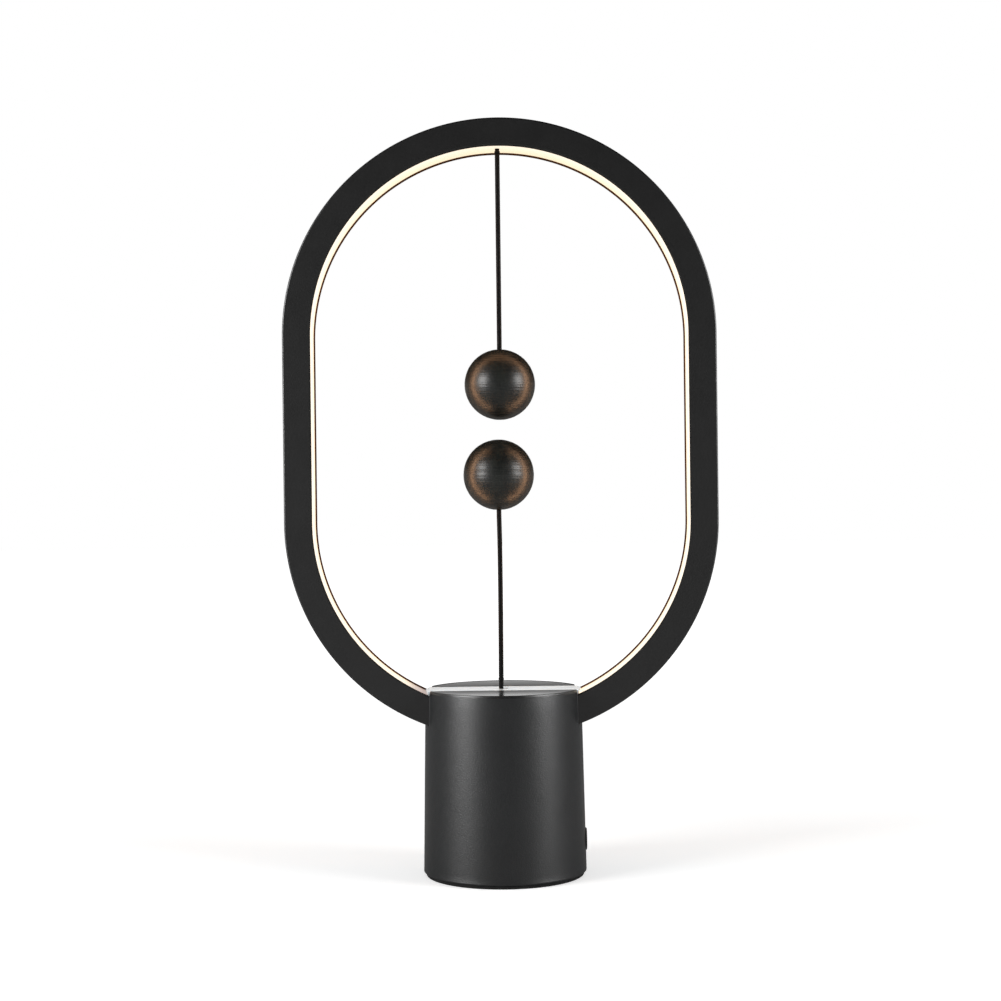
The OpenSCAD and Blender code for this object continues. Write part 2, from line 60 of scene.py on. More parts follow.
def setCamera():
    data = bpy.data.cameras.new("camera")
    data.sensor_width = view["film"]
    data.lens = view["lens"]
    data.shift_x = view["shiftRight"]
    data.shift_y = view["shiftDown"]
    camera = linked("camera", data)
    turn = Matrix.Rotation(math.pi / 2, 4, "X") @ Matrix.Rotation(view["lean"], 4, "Z")
    camera.matrix_world = Matrix.Translation((0, -view["away"], view["height"])) @ turn
    scene.camera = camera


setCamera()


# a socket that is added, multiplied and compared like a number
class Wire:
    def __init__(self, graph, socket):
        self.graph = graph
        self.socket = socket

    def calc(self, operation, first, second):
        return self.graph.add("ShaderNodeMath", {"operation": operation}, {0: first, 1: second})

    def __add__(self, other):
        return self.calc("ADD", self, other)

    def __radd__(self, other):
        return self.calc("ADD", other, self)

    def __sub__(self, other):
        return self.calc("SUBTRACT", self, other)

    def __rsub__(self, other):
        return self.calc("SUBTRACT", other, self)

    def __mul__(self, other):
        return self.calc("MULTIPLY", self, other)

    def __rmul__(self, other):
        return self.calc("MULTIPLY", other, self)

    def __gt__(self, other):
        return self.calc("GREATER_THAN", self, other)

    def __lt__(self, other):
        return self.calc("LESS_THAN", self, other)


class Graph:
    def __init__(self, tree, where="Object"):
        self.tree = tree
        self.place = self.add("ShaderNodeTexCoord", output=where)

    # any node: its type, its settings, and the values or links of its sockets
    def add(self, kind, settings=None, sockets=None, output=0):
        node = self.tree.nodes.new(kind)
        for key, value in (settings or {}).items():
            setattr(node, key, value)
        for key, value in (sockets or {}).items():
            if isinstance(value, Wire):
                self.tree.links.new(value.socket, node.inputs[key])
            else:
                node.inputs[key].default_value = value
        return Wire(self, node.outputs[output])

    def axis(self, index):
        return self.add("ShaderNodeSeparateXYZ", None, {0: self.place}, index)

    def between(self, value, low, high, first=0, last=1):
        return self.add("ShaderNodeMapRange", {"interpolation_type": "SMOOTHSTEP"}, {
            "Value": value, "From Min": low, "From Max": high, "To Min": first, "To Max": last})

    # noise, in features to the metre; a small factor of run draws it out along that axis
    def cloud(self, scale, detail=2, roughness=0.5, run=None):
        where = self.place
        if run:
            where = self.add("ShaderNodeVectorMath", {"operation": "MULTIPLY"}, {0: where, 1: run})
        return self.add("ShaderNodeTexNoise", None, {
            "Vector": where, "Scale": scale, "Detail": detail, "Roughness": roughness})

    # where the lighter of two colours lies: a share of one noise and the rest of another
    def patches(self, coarse, fine, share, low, high):
        return self.between(coarse * share + fine * (1 - share), low, high)

    def mixed(self, mask, first, second):
        return self.add("ShaderNodeMix", {"data_type": "RGBA"}, {0: mask, 6: first, 7: second}, 2)

    def rays(self, kind):
        return self.add("ShaderNodeLightPath", output="Is " + kind + " Ray")

    def facing(self):
        return self.add("ShaderNodeLayerWeight", None, {"Blend": 0.5}, "Facing")


finishes = {}


class Finish(Graph):
    def __init__(self, name, plain):
        self.material = bpy.data.materials.new(name)
        self.material.use_nodes = True
        finishes[name] = self.material
        super().__init__(self.material.node_tree)
        self.shader = self.tree.nodes["Principled BSDF"]
        for key, value in plain.items():
            self.shader.inputs[key].default_value = value
        self.lastNormal = None

    def feed(self, socket, value):
        self.tree.links.new(value.socket, self.shader.inputs[socket])

    def colour(self, mask, first, second):
        self.feed("Base Color", self.mixed(mask, first, second))

    def bump(self, height, depth, strength=1.0):
        sockets = {"Height": height, "Distance": depth, "Strength": strength}
        if self.lastNormal:
            sockets["Normal"] = self.lastNormal
        self.lastNormal = self.add("ShaderNodeBump", None, sockets)
        self.feed("Normal", self.lastNormal)


def grey(value):
    return (value, value, value, 1)


# moulded or painted surfaces: two close colours in clouds, uneven gloss, a fine grain
surfaces = {
    "shellPaint": {"dark": (0.0022, 0.0029, 0.0035, 1), "light": (0.0040, 0.0048, 0.0056, 1), "cloud": 60,
        "rough": (0.335, 0.395), "grain": 2600, "depth": 0.048, "gloss": 0.93},
    "ringPaint": {"dark": grey(0.0024), "light": grey(0.0036), "cloud": 50,
        "rough": (0.31, 0.37), "grain": 2600, "depth": 0.03, "gloss": 0.95},
    # painted highlight: the front lip's inner edge is a lighter grey than the ring paint, standing in for
    # light caught on the edge
    "frontLipPaintedHighlight": {"dark": grey(0.020), "light": grey(0.027), "cloud": 90,
        "rough": (0.75, 0.85), "grain": 2600, "depth": 0.01, "gloss": 0.0},
    # painted light: the rear lip of the black ring gets a red-brown that stands in for the diffuser's warm
    # glow falling on it
    "rearLipPaintedGlow": {"dark": (0.040, 0.0155, 0.0045, 1), "light": (0.054, 0.0215, 0.006, 1), "cloud": 90,
        "rough": (0.75, 0.85), "grain": 2600, "depth": 0.01, "gloss": 0.0},
    # painted highlight: a light grey on the eased slot edges, standing in for light caught along them
    "slotEdgePaintedHighlight": {"dark": (0.075, 0.077, 0.080, 1), "light": (0.12, 0.122, 0.125, 1), "cloud": 400,
        "rough": (0.30, 0.40), "grain": 2600, "depth": 0.01, "gloss": 0.5},
    "palePlastic": {"dark": (0.80, 0.875, 0.925, 1), "light": (0.85, 0.925, 0.97, 1), "cloud": 90,
        "rough": (0.16, 0.26), "grain": 2600, "depth": 0.006, "gloss": 0.8},
    "footRubber": {"dark": grey(0.008), "light": grey(0.016), "cloud": 200,
        "rough": (0.75, 0.9), "grain": 2200, "depth": 0.03, "gloss": 0.3},
    "innerPlastic": {"dark": grey(0.030), "light": grey(0.040), "cloud": 80,
        "rough": (0.5, 0.6), "grain": 2400, "depth": 0.015, "gloss": 0.5},
    "nylon": {"dark": (0.56, 0.55, 0.50, 1), "light": (0.68, 0.67, 0.62, 1), "cloud": 120,
        "rough": (0.35, 0.5), "grain": 2000, "depth": 0.008, "gloss": 0.5},
    "inletPlastic": {"dark": grey(0.003), "light": grey(0.006), "cloud": 150,
        "rough": (0.4, 0.5), "grain": 3000, "depth": 0.008, "gloss": 0.4},
    "leadWire": {"dark": (0.22, 0.015, 0.012, 1), "light": (0.34, 0.03, 0.02, 1), "cloud": 300,
        "rough": (0.35, 0.5), "grain": 2600, "depth": 0.006, "gloss": 0.5},
}
surfacePatches = (0.7, 0.35, 0.65)
unevenGloss = {"scale": 2.6, "spread": 1.2}  # against the clouds

# bare metals: brushed or plated, with faint scratches along one axis
metals = {
    "screwSteel": {"dark": (0.38, 0.38, 0.40, 1), "light": (0.60, 0.60, 0.62, 1),
        "rough": (0.22, 0.40), "run": (1, 1, 0.15), "depth": 0.004},
    "ballastSteel": {"dark": (0.26, 0.26, 0.27, 1), "light": (0.44, 0.44, 0.45, 1),
        "rough": (0.35, 0.6), "run": (0.12, 1, 1), "depth": 0.012},
    "springSteel": {"dark": (0.42, 0.42, 0.44, 1), "light": (0.64, 0.64, 0.66, 1),
        "rough": (0.2, 0.35), "run": (1, 1, 0.3), "depth": 0.003},
    "brass": {"dark": (0.55, 0.36, 0.13, 1), "light": (0.78, 0.57, 0.26, 1),
        "rough": (0.22, 0.42), "run": (1, 0.2, 1), "depth": 0.004},
    "nickel": {"dark": (0.50, 0.50, 0.52, 1), "light": (0.68, 0.68, 0.69, 1),
        "rough": (0.12, 0.25), "run": (1, 1, 1), "depth": 0.003},
}
metalStreaks = (2600, 4, 0.6)
metalSpots = (420, 3)
metalPatches = (0.6, 0.36, 0.62)


def paintSurface(name, spec):
    made = Finish(name, {"Specular IOR Level": spec["gloss"]})
    clouds = made.cloud(spec["cloud"], 4, 0.55)
    fine = made.cloud(spec["grain"], 2, 0.6)
    mask = made.patches(clouds, fine, *surfacePatches)
    uneven = made.cloud(spec["cloud"] * unevenGloss["scale"], 3)
    low, high = spec["rough"]
    made.colour(mask, spec["dark"], spec["light"])
    made.feed("Roughness", low + uneven * (high - low) * unevenGloss["spread"])
    made.bump(fine, spec["depth"] * mm)


def paintMetal(name, spec):
    made = Finish(name, {"Metallic": 1.0})
    streaks = made.cloud(*metalStreaks, run=spec["run"])
    mask = made.patches(streaks, made.cloud(*metalSpots), *metalPatches)
    low, high = spec["rough"]
    made.colour(mask, spec["dark"], spec["light"])
    made.feed("Roughness", low + streaks * (high - low))
    made.bump(streaks, spec["depth"] * mm)


for name, spec in surfaces.items():
    paintSurface(name, spec)
for name, spec in metals.items():
    paintMetal(name, spec)

# the top plates: the same paint, polished towards the rim, most of all in front
plateLook = {
    "dark": grey(0.0150), "light": grey(0.0190),
    "clouds": (80, 4, 0.55), "grain": (2000, 2, 0.6), "grainDepth": 0.02 * mm,
    "rough": 0.36, "uneven": 0.06, "polishFront": 0.20, "polishRear": 0.11,
    "polished": (8 * mm, 24 * mm),  # where it starts and is full, from the middle
}


def paintPlates():
    p = plateLook
    made = Finish("platePaint", {"Specular IOR Level": 0.7})
    y = made.axis(1)
    fine = made.cloud(*p["grain"])
    clouds = made.cloud(*p["clouds"])
    polish = made.between(y * -1, *p["polished"]) * p["polishFront"]
    polish += made.between(y, *p["polished"]) * p["polishRear"]
    made.colour(made.patches(clouds, fine, *surfacePatches), p["dark"], p["light"])
    made.feed("Roughness", p["rough"] + clouds * p["uneven"] - polish)
    made.bump(fine, p["grainDepth"])


# black-stained turned wood: fine rings from the tool, darker open pores, a thin lacquer
stainedWood = {
    "dark": (0.0040, 0.0051, 0.0046, 1),
    "light": (0.0135, 0.0150, 0.0122, 1),
    "patches": (0.7, 0.38, 0.64),
    "grain": (420, 5, 0.6), "grainRun": (1, 1, 0.16),
    "marks": (3600, 3, 0.65),  # the tool's, so many to a metre of height
    "marksRun": (0.03, 0.03, 1), "marksDepth": 0.055 * mm,
    "pores": (1500, 2, 0.5), "poresRun": (1, 1, 0.12), "poresEdge": (0.62, 0.72), "poresDepth": 0.012 * mm,
    "poreColour": (0.002, 0.0018, 0.0015, 1), "poreTone": 0.8,
    "speckle": (2300, 2, 0.5), "speckleRun": (0.6, 0.6, 1), "speckleDepth": 0.060 * mm,
    "rough": (0.36, 0.50), "roughSpread": 1.3, "lacquer": 0.86, "lacquerRough": 0.31,
    "lacquerThin": 0.6, "lacquerMarks": 0.8,  # its least share, and what the marks add
}


def paintWood():
    w = stainedWood
    made = Finish("stainedWood", {
        "Coat Roughness": w["lacquerRough"], "Coat IOR": 1.45, "Specular IOR Level": 0.22})
    grain = made.cloud(*w["grain"], run=w["grainRun"])
    marks = made.cloud(*w["marks"], run=w["marksRun"])
    pores = made.between(made.cloud(*w["pores"], run=w["poresRun"]), *w["poresEdge"])
    tone = made.mixed(made.patches(grain, marks, *w["patches"]), w["dark"], w["light"])
    low, high = w["rough"]
    slant = made.facing()
    lacquer = w["lacquer"] * (w["lacquerThin"] + marks * w["lacquerMarks"])
    made.colour(pores * w["poreTone"], tone, w["poreColour"])
    made.feed("Roughness", low + marks * (high - low) * w["roughSpread"])
    made.feed("Coat Weight", lacquer * (1 - slant * slant))
    made.bump(marks, w["marksDepth"])
    made.bump(made.cloud(*w["speckle"], run=w["speckleRun"]), w["speckleDepth"])
    made.bump(1 - pores, w["poresDepth"], 0.6)


# plaited nylon: fibres along the strands, matt in the gaps and glossier on top
plaitLook = {
    "gap": (0.0015, 0.0015, 0.0015, 1), "strand": (0.0030, 0.0030, 0.0032, 1),
    "patches": (0.6, 0.4, 0.6),
    "fibres": (9000, 2, 0.5), "fibresRun": (1, 1, 0.25), "fibresDepth": 0.015 * mm,
    "lumps": 1500, "rough": 0.75, "sheen": 0.3,
}


def paintCord():
    p = plaitLook
    made = Finish("plaitedCord", {"Specular IOR Level": 0.14})
    fibres = made.cloud(*p["fibres"], run=p["fibresRun"])
    mask = made.patches(fibres, made.cloud(p["lumps"]), *p["patches"])
    made.colour(mask, p["gap"], p["strand"])
    made.feed("Roughness", p["rough"] - mask * p["sheen"])
    made.bump(fibres, p["fibresDepth"])


# milky diffuser, lit from behind: warm and strong straight on, paler and weaker at a slant, and
# dying away where the ring meets the base
glow = {
    "milk": ((0.34, 0.33, 0.32, 1), (0.38, 0.37, 0.36, 1)),
    "straight": (1.15, 0.60, 0.30, 1),
    "upright": (0.52, 0.25, 0.11, 1),
    "slanting": ((0.160, 0.142, 0.113, 1), (0.158, 0.134, 0.092, 1)),  # at the front and rear edge
    "depth": (-7 * mm, 7 * mm),
    "faint": (0.060, 0.045, 0.040, 1),
    "strength": 6.0,
    "slant": (0.2, 0.42),
    "rise": (185 * mm, 225 * mm),
    "fadeLeft": (-34.0 * mm, -27.0 * mm),
    "fadeRight": (-26.5 * mm, -23.5 * mm), "fadeRightShare": 0.5,
    "fadeHeight": (62 * mm, 78 * mm),
    "uneven": (160, 3), "unevenShare": (1.06, 0.12),
    "grain": 3000, "grainDepth": 0.004 * mm,
}


def paintDiffuser():
    g = glow
    made = Finish("litDiffuser", {"Roughness": 0.42, "Emission Strength": g["strength"]})
    x = made.axis(0)
    z = made.axis(2)
    left = made.between(x, *g["fadeLeft"]) * (x < 0)
    right = made.between(x * -1, *g["fadeRight"]) * (x > 0) * g["fadeRightShare"]
    fade = (1 - made.between(z, *g["fadeHeight"])) * (left + right)
    uneven = made.cloud(*g["uneven"])
    most, less = g["unevenShare"]
    slant = made.between(made.facing(), *g["slant"]) * (most - uneven * less)
    warm = made.mixed(made.between(z, *g["rise"]), g["straight"], g["upright"])
    pale = made.mixed(made.between(made.axis(1), *g["depth"]), *g["slanting"])
    made.feed("Emission Color", made.mixed(fade, made.mixed(slant, warm, pale), g["faint"]))
    made.colour(uneven, *g["milk"])
    made.bump(made.cloud(g["grain"]), g["grainDepth"])


# green board: copper tracks in long straight runs under the solder mask
boardLook = {
    "mask": ((0.006, 0.05, 0.022, 1), (0.008, 0.07, 0.03, 1)),
    "track": (0.02, 0.16, 0.07, 1),
    "stain": (0.004, 0.03, 0.014, 1), "stainTone": 0.35,
    "scale": 330, "run": 3.1, "pitch": 0.24, "width": 0.05,
    "clouds": (900, 3), "rough": (0.24, 0.2), "depth": 0.01 * mm,
}


def paintBoard():
    b = boardLook
    made = Finish("circuitBoard", {})
    upright = made.add("ShaderNodeMapping", None, {"Vector": made.place, "Rotation": (math.pi / 2, 0, 0)})
    tracks = made.add("ShaderNodeTexBrick", {"offset": 0.37, "offset_frequency": 3}, {
        "Vector": upright, "Scale": b["scale"], "Brick Width": b["run"], "Row Height": b["pitch"],
        "Mortar Size": b["width"], "Mortar Smooth": 0.2,
        "Color1": b["mask"][0], "Color2": b["mask"][1], "Mortar": b["track"]})
    clouds = made.cloud(*b["clouds"])
    low, spread = b["rough"]
    made.colour(clouds * b["stainTone"], tracks, b["stain"])
    made.feed("Roughness", low + clouds * spread)
    made.bump(clouds, b["depth"])


# what sits on the board, told apart by place: blue can, black chip, copper coil
partsLook = {
    "canEnd": 11.8 * mm, "coilStart": 18.15 * mm,
    "copper": ((0.16, 0.055, 0.02, 1), (0.52, 0.22, 0.09, 1)),
    "chip": ((0.008, 0.008, 0.009, 1), (0.018, 0.018, 0.019, 1)),
    "sleeve": ((0.012, 0.022, 0.10, 1), (0.022, 0.04, 0.17, 1)),
    "windings": 700, "windingDepth": 0.05 * mm,
    "rough": 0.5, "canGloss": 0.22, "uneven": 0.1, "coilMetal": 0.8,
}


def paintParts():
    p = partsLook
    made = Finish("boardParts", {})
    x = made.axis(0)
    can = x < p["canEnd"]
    coil = x > p["coilStart"]
    windings = made.add("ShaderNodeTexWave", {"bands_direction": "Z"}, {
        "Vector": made.place, "Scale": p["windings"], "Distortion": 0.6, "Detail": 1})
    copper = made.mixed(windings, *p["copper"])
    chip = made.mixed(made.cloud(2500), *p["chip"])
    sleeve = made.mixed(made.cloud(700), *p["sleeve"])
    made.colour(coil, made.mixed(can, chip, sleeve), copper)
    made.feed("Roughness", p["rough"] - can * p["canGloss"] + made.cloud(1200) * p["uneven"])
    made.feed("Metallic", coil * p["coilMetal"])
    made.bump(windings * coil, p["windingDepth"])


# flexible light strip: white solder mask with bare copper pads every few millimetres
stripLook = {
    "mask": ((0.72, 0.70, 0.64, 1), (0.80, 0.78, 0.73, 1)),
    "copper": (0.68, 0.40, 0.17, 1),
    "pads": 170, "padEdge": (0.16, 0.19), "padMetal": 0.9, "padGloss": 0.15, "padDepth": 0.02 * mm,
    "rough": 0.42, "clouds": (700, 3),
}


def paintStrip():
    s = stripLook
    made = Finish("lightStrip", {})
    cells = made.add("ShaderNodeTexVoronoi", {"feature": "F1", "distance": "CHEBYCHEV"}, {
        "Vector": made.place, "Scale": s["pads"], "Randomness": 0.15})
    pad = 1 - made.between(cells, *s["padEdge"])
    made.colour(pad, made.mixed(made.cloud(*s["clouds"]), *s["mask"]), s["copper"])
    made.feed("Metallic", pad * s["padMetal"])
    made.feed("Roughness", s["rough"] - pad * s["padGloss"])
    made.bump(pad, s["padDepth"])


# one light: yellow phosphor in a white frame, glowing
lightLook = {
    "phosphor": ((0.85, 0.62, 0.12, 1), (0.90, 0.74, 0.25, 1)),
    "glow": ((1.0, 0.40, 0.12, 1), (1.0, 0.50, 0.18, 1)),
    "strength": 6.0, "rough": 0.35, "speckle": (5200, 3), "depth": 0.01 * mm,
}


def paintLights():
    s = lightLook
    made = Finish("phosphor", {"Emission Strength": s["strength"], "Roughness": s["rough"]})
    speckle = made.cloud(*s["speckle"])
    made.colour(speckle, *s["phosphor"])
    made.feed("Emission Color", made.mixed(speckle, *s["glow"]))
    made.bump(speckle, s["depth"])


paintPlates()
paintWood()
paintCord()
paintDiffuser()
paintBoard()
paintParts()
paintStrip()
paintLights()
print("finishes made:", len(finishes))


def addPiece(name, verts, faces, finish, sharp=35):
    mesh = bpy.data.meshes.new(name)
    mesh.from_pydata([tuple(v) for v in verts], [], faces)
    mesh.validate()
    return dressed(name, mesh, finish, sharp)


def dressed(name, mesh, finish, sharp):
    work = bmesh.new()
    work.from_mesh(mesh)
    bmesh.ops.recalc_face_normals(work, faces=work.faces)
    work.to_mesh(mesh)
    work.free()
    softenShade(mesh, sharp)
    if finish:
        mesh.materials.append(finishes[finish])
    return linked(name, mesh)


def softenShade(mesh, sharp):
    mesh.shade_smooth()
    mesh.set_sharp_from_angle(angle=math.radians(sharp))


# the body that the piece moves with, and the node that it stands for
def place(piece, body, node):
    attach(piece, body)
    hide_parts(node)


def around(steps):
    return [2 * math.pi * k / steps for k in range(steps)]


# an outline of (radius, height) turned round Z; points at radius 0 close the middle
def turned(profile, steps, centre=(0, 0, 0), wobble=None):
    verts, rows = [], []
    for r, z in profile:
        if r <= 0:
            verts.append(Vector(centre) + Vector((0, 0, z)))
            rows.append([len(verts) - 1])
            continue
        row = []
        for a in around(steps):
            out, up = wobble(r, z, a) if wobble else (r, z)
            verts.append(Vector(centre) + Vector((out * math.cos(a), out * math.sin(a), up)))
            row.append(len(verts) - 1)
        rows.append(row)
    return verts, joinRows(rows, profile[0][0] > 0 and profile[-1][0] > 0)


def joinRows(rows, closed):
    faces = []
    pairs = list(zip(rows, rows[1:]))
    if closed:
        pairs.append((rows[-1], rows[0]))
    for a, b in pairs:
        count = max(len(a), len(b))
        for k in range(count):
            after = (k + 1) % count
            face = (a[k % len(a)], b[k % len(b)], b[after % len(b)], a[after % len(a)])
            face = tuple(dict.fromkeys(face))  # a triangle where one row is a single point
            if len(face) > 2:
                faces.append(face)
    return faces


# points of a rounded corner between two directions, in degrees, around a centre
def corner(cx, cy, radius, start, end, count=4):
    turns = [math.radians(start + (end - start) * i / count) for i in range(count + 1)]
    return [(cx + radius * math.cos(t), cy + radius * math.sin(t)) for t in turns]


def cutAway(piece, cutter, operation="DIFFERENCE", sharp=30):
    bake = piece.modifiers.new("cut", "BOOLEAN")
    bake.operation = operation
    bake.solver = "EXACT"
    bake.object = cutter
    bpy.context.view_layer.update()
    shaped = bpy.data.meshes.new_from_object(piece.evaluated_get(bpy.context.evaluated_depsgraph_get()))
    piece.modifiers.clear()
    old = piece.data
    name = old.name
    piece.data = shaped
    bpy.data.meshes.remove(old)
    shaped.name = name
    discard(cutter)
    softenShade(shaped, sharp)
    return piece


def discard(piece):
    used = piece.data
    bpy.data.objects.remove(piece)
    bpy.data.meshes.remove(used)


def joined(first, second):
    work = bmesh.new()
    work.from_mesh(first.data)
    work.from_mesh(second.data)
    work.to_mesh(first.data)
    work.free()
    discard(second)
    return first


# a rod from one point to another, for drilling
def rod(start, end, radius, steps):
    start, end = Vector(start), Vector(end)
    along = (end - start).normalized()
    side = along.orthogonal().normalized()
    up = along.cross(side)
    verts = []
    for point in (start, end):
        verts += [point + radius * (math.cos(a) * side + math.sin(a) * up) for a in around(steps)]
    faces = [tuple(range(steps)), tuple(range(2 * steps - 1, steps - 1, -1))]
    faces += [(k, (k + 1) % steps, steps + (k + 1) % steps, steps + k) for k in range(steps)]
    return addPiece("rod", verts, faces, None)


def drill(piece, start, end, radius, steps=48, sharp=30):
    return cutAway(piece, rod(start, end, radius, steps), sharp=sharp)


def drillUp(piece, holes, sharp=30):
    for x, radius, low, high, steps in holes:
        drill(piece, (x, 0, low), (x, 0, high), radius, steps, sharp)


def block(low, high):
    verts = [(x, y, z) for x in (low[0], high[0]) for y in (low[1], high[1]) for z in (low[2], high[2])]
    faces = [(0, 1, 3, 2), (4, 6, 7, 5), (0, 4, 5, 1), (2, 3, 7, 6), (0, 2, 6, 4), (1, 5, 7, 3)]
    return addPiece("block", verts, faces, None)


# the stadium that the ring, the diffuser and the cuts follow
stadium = {"low": 115 * mm, "high": 175 * mm, "arcSteps": 112, "sideSteps": 12}


def stations():
    s = stadium
    places = []
    for start, z, goal, side in ((0, s["high"], s["low"], -1), (math.pi, s["low"], s["high"], 1)):
        for k in range(s["arcSteps"] + 1):
            a = start + math.pi * k / s["arcSteps"]
            places.append((z, math.cos(a), math.sin(a)))
        for k in range(1, s["sideSteps"]):
            places.append((z + (goal - z) * k / s["sideSteps"], side, 0))
    return places


# a closed outline of (radius, depth), carried round the stadium
def swept(profile):
    verts, rows = [], []
    for z, c, s in stations():
        rows.append(list(range(len(verts), len(verts) + len(profile))))
        verts += [(r * c, y, z + r * s) for r, y in profile]
    return verts, joinRows(rows, True)


def ringBand(inner, outer, front, back):
    verts, faces = swept([(inner, front), (outer, front), (outer, back), (inner, back)])
    return addPiece("band", verts, faces, None)


# near its bend a cord is no wider than narrow times the distance, so that it swings clear
cordSpec = {"radius": 0.80 * mm, "strands": 4, "lay": 5.2 / mm, "relief": 0.11, "crest": 0.7, "sides": 24,
    "step": 0.11 * mm, "routeSteps": 6, "lead": 0.5 * mm, "narrow": 1.05}
upperBend = Vector((0, 0, 235.2 * mm))
lowerBend = Vector((-0.65 * mm, 0, 63.4 * mm))

# each route: how far to the side in millimetres, and how far along
upperCord = {"start": 234.25 * mm, "end": 158.0 * mm,
    "route": [(0, 0), (0, 0.25), (0, 0.5), (0, 0.75), (0, 1)]}
lowerCord = {"start": 64.35 * mm, "end": 131.4 * mm,
    "route": [(-0.65, 0), (-0.6, 0.15), (-0.55, 0.4), (-0.6, 0.65), (-0.75, 0.8), (-0.7, 1)]}
cordTail = {"start": 43.05 * mm, "end": 62.45 * mm, "thin": 0.95,
    "route": [(0, 0), (0, 0.3), (-0.15, 0.5), (-0.65, 0.85), (-0.65, 1)]}
cordKnot = {"steps": 96, "size": 0.33, "height": 239.17 * mm, "thin": 0.68,
    "stubLow": 235.65 * mm, "stubHigh": 238.6 * mm, "stubThin": 0.97}
cordKnuckle = {"radius": 0.92 * mm, "relief": 0.07, "rows": 16, "steps": 32}


def throughPoints(points, steps):
    line = []
    last = len(points) - 1
    for i in range(last):
        a, b, c, d = (points[j] for j in (max(i - 1, 0), i, i + 1, min(i + 2, last)))
        for s in range(steps):
            t = s / steps
            line.append(0.5 * (2 * b + (c - a) * t + (2 * a - 5 * b + 4 * c - d) * t * t
                + (3 * b - a - 3 * c + d) * t * t * t))
    line.append(points[last])
    return line


def cordLine(spec):
    start, end = spec["start"], spec["end"]
    points = [Vector((x * mm, 0, start + (end - start) * share)) for x, share in spec["route"]]
    return throughPoints(points, cordSpec["routeSteps"])


def lineLength(line):
    return sum((b - a).length for a, b in zip(line, line[1:]))


def evenly(line, step):
    total = lineLength(line)
    count = max(2, round(total / step))
    out, walked, i = [line[0]], 0.0, 0
    for k in range(1, count):
        goal = total * k / count
        while walked + (line[i + 1] - line[i]).length < goal:
            walked += (line[i + 1] - line[i]).length
            i += 1
        out.append(line[i].lerp(line[i + 1], (goal - walked) / (line[i + 1] - line[i]).length))
    return out + [line[-1]]


# the plait's height over the cord: strands that run both ways and cross
def plaitHeight(angle, along):
    n = cordSpec["strands"]
    one = abs(math.cos(n * angle + cordSpec["lay"] * along))
    two = abs(math.cos(n * angle - cordSpec["lay"] * along))
    return max(one, two) ** cordSpec["crest"]


def plaitedTube(name, line, size=1.0, bend=None):
    c = cordSpec
    points = evenly(line, c["step"])
    verts, rows = [], []
    side = (points[1] - points[0]).cross(Vector((0, 1, 0))).normalized()
    for i, p in enumerate(points):
        along = (points[min(i + 1, len(points) - 1)] - points[max(i - 1, 0)]).normalized()
        side = (side - along * side.dot(along)).normalized()
        up = along.cross(side)
        widest = c["narrow"] * (p - bend).length if bend else math.inf
        row = []
        for a in around(c["sides"]):
            r = size * c["radius"] * (1 - c["relief"] + c["relief"] * plaitHeight(a, i * c["step"]))
            row.append(len(verts))
            verts.append(p + min(r, widest) * (math.cos(a) * side + math.sin(a) * up))
        rows.append(row)
    faces = joinRows(rows, False) + [tuple(rows[0]), tuple(reversed(rows[-1]))]
    return addPiece(name, verts, faces, "plaitedCord", 70)


# the short stretch that bends: the plait drawn together into a small knuckle
def knuckle(name, centre):
    n = cordKnuckle
    turns = [math.pi * k / n["rows"] for k in range(1, n["rows"])]
    profile = [(n["radius"] * math.sin(t), -n["radius"] * math.cos(t)) for t in turns]
    profile = [(0, -n["radius"])] + profile + [(0, n["radius"])]

    def plaited(r, height, angle):
        return r * (1 - n["relief"] + n["relief"] * plaitHeight(angle, height)), height

    verts, faces = turned(profile, n["steps"], centre, plaited)
    return addPiece(name, verts, faces, "plaitedCord", 70)


# the knot behind the diffuser, a single overhand knot, and the cord down to the bend
def upperKnot():
    n = cordKnot
    turns = []
    for k in range(n["steps"] + 1):
        t = 2 * math.pi * k / n["steps"]
        x = math.sin(t) + 2 * math.sin(2 * t)
        z = math.cos(t) - 2 * math.cos(2 * t)
        turns.append(Vector((x, -math.sin(3 * t), z)) * n["size"] * mm + Vector((0, 0, n["height"])))
    stub = [Vector((0, 0, n["stubLow"])), Vector((0, 0, n["stubHigh"]))]
    knot = plaitedTube("upperKnot", turns, n["thin"])
    return joined(knot, plaitedTube("upperStub", stub, n["stubThin"], upperBend))


def hangCord(name, spec, bend, body, node):
    line = cordLine(spec)
    lead = cordSpec["lead"] * (line[0] - line[1]).normalized()  # runs on a little, into the knuckle
    piece = plaitedTube(name, [line[0] + lead] + line, 1.0, bend)
    lineLength(line)
    place(piece, body, node)


def makeCords():
    hangCord("upperCord", upperCord, upperBend, "upper_pendulum", "upper_cord")
    hangCord("lowerCord", lowerCord, lowerBend, "lower_pendulum", "lower_cord")
    line = cordLine(cordTail)
    line.append(line[-1] + Vector((0, 0, cordSpec["lead"])))
    tail = plaitedTube("lowerCordTail", line, cordTail["thin"], lowerBend)
    place(tail, "switch_plunger", "lower_cord_tail")
    place(upperKnot(), "lamp", "upper_cord_knot")
    place(knuckle("lowerKnuckle", lowerBend), "lower_bend", "lower_cord_bend")
    place(knuckle("upperKnuckle", upperBend), "upper_bend", "upper_cord_bend")


makeCords()
print("cords plaited")

